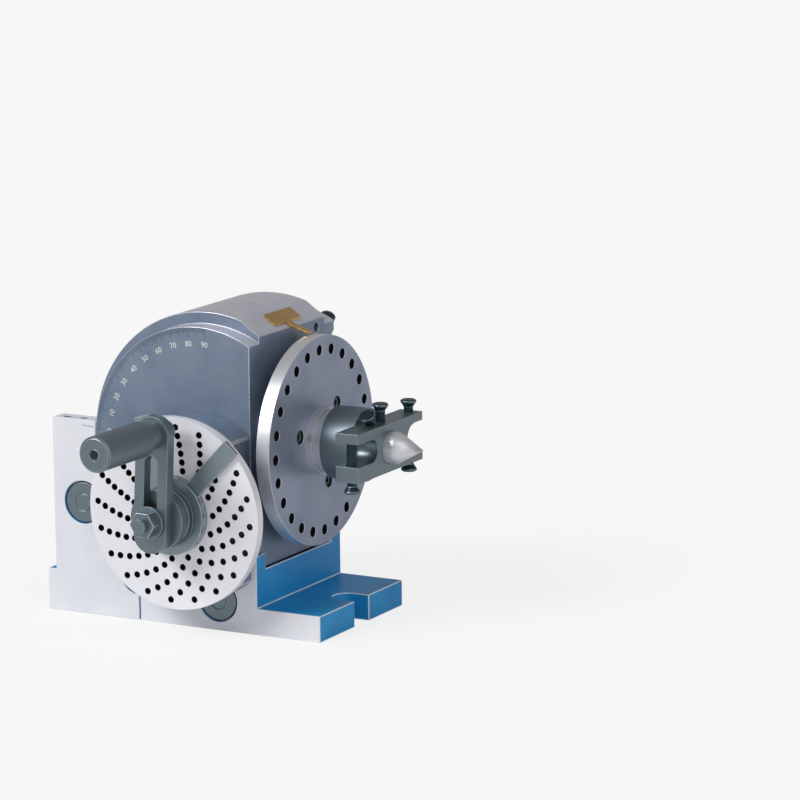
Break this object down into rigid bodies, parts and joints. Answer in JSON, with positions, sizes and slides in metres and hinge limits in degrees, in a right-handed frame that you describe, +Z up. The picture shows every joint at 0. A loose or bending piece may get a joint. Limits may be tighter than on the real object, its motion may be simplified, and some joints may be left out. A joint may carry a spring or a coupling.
{
  "type": "dividing head",
  "caption": "Semi-universal dividing head: swivelling worm-geared spindle on a slotted cradle, with index crank, drilled plates, sector arms, centre and driver.",
  "frame": {"origin": "on the table, in the plane of the base's ground underside, straight below the crossing of the spindle's axis and the swivel axis, in the mouth of the table-key slot", "axes": "+X along the spindle towards its nose and centre, -Y towards the index crank, +Z up"},
  "size_m": [0.2114, 0.2112, 0.1725],
  "materials": {
    "base_casting": "grey iron casting: blue enamel on the foot, wall and insides, ground bare on the outer faces",
    "clamp_discs": "dark turned steel discs",
    "machined_housing": "fine-turned and polished iron with a grey-blue cast",
    "blackened_steel": "oil-blackened steel with worn edges",
    "dark_steel": "dark heat-treated steel, satin",
    "sector_steel": "ground dark steel strip",
    "bright_steel": "bright ground steel",
    "worm_steel": "hardened and ground steel",
    "index_plate_steel": "near-white fine-faced steel with dark drilled holes",
    "direct_plate_steel": "fine-faced grey steel with a bright turned rim",
    "bearing_bronze": "cast bronze, turned",
    "brass_pointer": "bent brass strip"
  },
  "bodies": {
    "base": {"base": "base_casting", "swivel_clamp_bolts": "clamp_discs", "swivel_clamp_nuts": "blackened_steel"},
    "head": {"head_housing": "machined_housing", "rear_cover": "machined_housing", "rear_cover_screws": "blackened_steel", "spindle_front_bush": "bearing_bronze", "spindle_rear_bush": "bearing_bronze", "rim_pointer": "brass_pointer", "worm_housing": "machined_housing", "worm_housing_screws": "blackened_steel", "worm_front_bush": "bearing_bronze", "worm_rear_bush": "bearing_bronze", "index_plate": "index_plate_steel", "index_plate_screws": "blackened_steel", "sector_spring": "dark_steel", "sector_retaining_ring": "bright_steel"},
    "spindle": {"spindle": "bright_steel", "worm_wheel": "bearing_bronze", "wheel_nut": "blackened_steel", "spindle_locknut": "blackened_steel", "direct_index_plate": "direct_plate_steel", "direct_plate_screws": "blackened_steel", "dog_driver": "dark_steel", "driver_tail_screws": "blackened_steel", "centre_clamp_screws": "blackened_steel", "centre": "bright_steel"},
    "crank": {"worm_shaft": "worm_steel", "crank_washer": "blackened_steel", "crank_nut": "blackened_steel"},
    "crank_arm": {"crank_arm": "dark_steel", "pin_sleeve": "dark_steel"},
    "index_pin": {"index_pin": "bright_steel", "crank_handle": "dark_steel", "handle_screw": "blackened_steel"},
    "sector_trailing": {"sector_arm_trailing": "sector_steel"},
    "sector_leading": {"sector_arm_leading": "sector_steel"},
    "direct_plunger": {"direct_plunger": "bright_steel", "plunger_knob": "blackened_steel"}
  },
  "joints": [
    {"name": "head_tilt", "type": "hinge", "parent": "base", "child": "head", "pos_m": [0, 0, 0.1], "axis": [0, -1, 0], "range_deg": [-10, 90]},
    {"name": "spindle_turn", "type": "hinge", "parent": "head", "child": "spindle", "pos_m": [0, 0, 0.1], "axis": [1, 0, 0], "continuous": true},
    {"name": "crank_turn", "type": "hinge", "parent": "head", "child": "crank", "pos_m": [0, -0.05, 0.0692], "axis": [0, 1, 0], "continuous": true},
    {"name": "crank_adjust", "type": "slide", "parent": "crank", "child": "crank_arm", "axis": [0.0523, 0, 0.9986], "range_m": [-0.02275, 0]},
    {"name": "index_pin_pull", "type": "slide", "parent": "crank_arm", "child": "index_pin", "axis": [0, 1, 0], "range_m": [0, 0.0105]},
    {"name": "sector_turn", "type": "hinge", "parent": "head", "child": "sector_trailing", "pos_m": [0, -0.0755, 0.0692], "axis": [0, -1, 0], "continuous": true},
    {"name": "sector_spread", "type": "hinge", "parent": "sector_trailing", "child": "sector_leading", "pos_m": [0, -0.0782, 0.0692], "axis": [0, -1, 0], "range_deg": [-30, 270]},
    {"name": "direct_plunger_push", "type": "slide", "parent": "head", "child": "direct_plunger", "axis": [1, 0, 0], "range_m": [0, 0.008]}
  ],
  "couplings": [
    {"joint": "crank_turn", "follows": "spindle_turn", "ratio": -40}
  ]
}
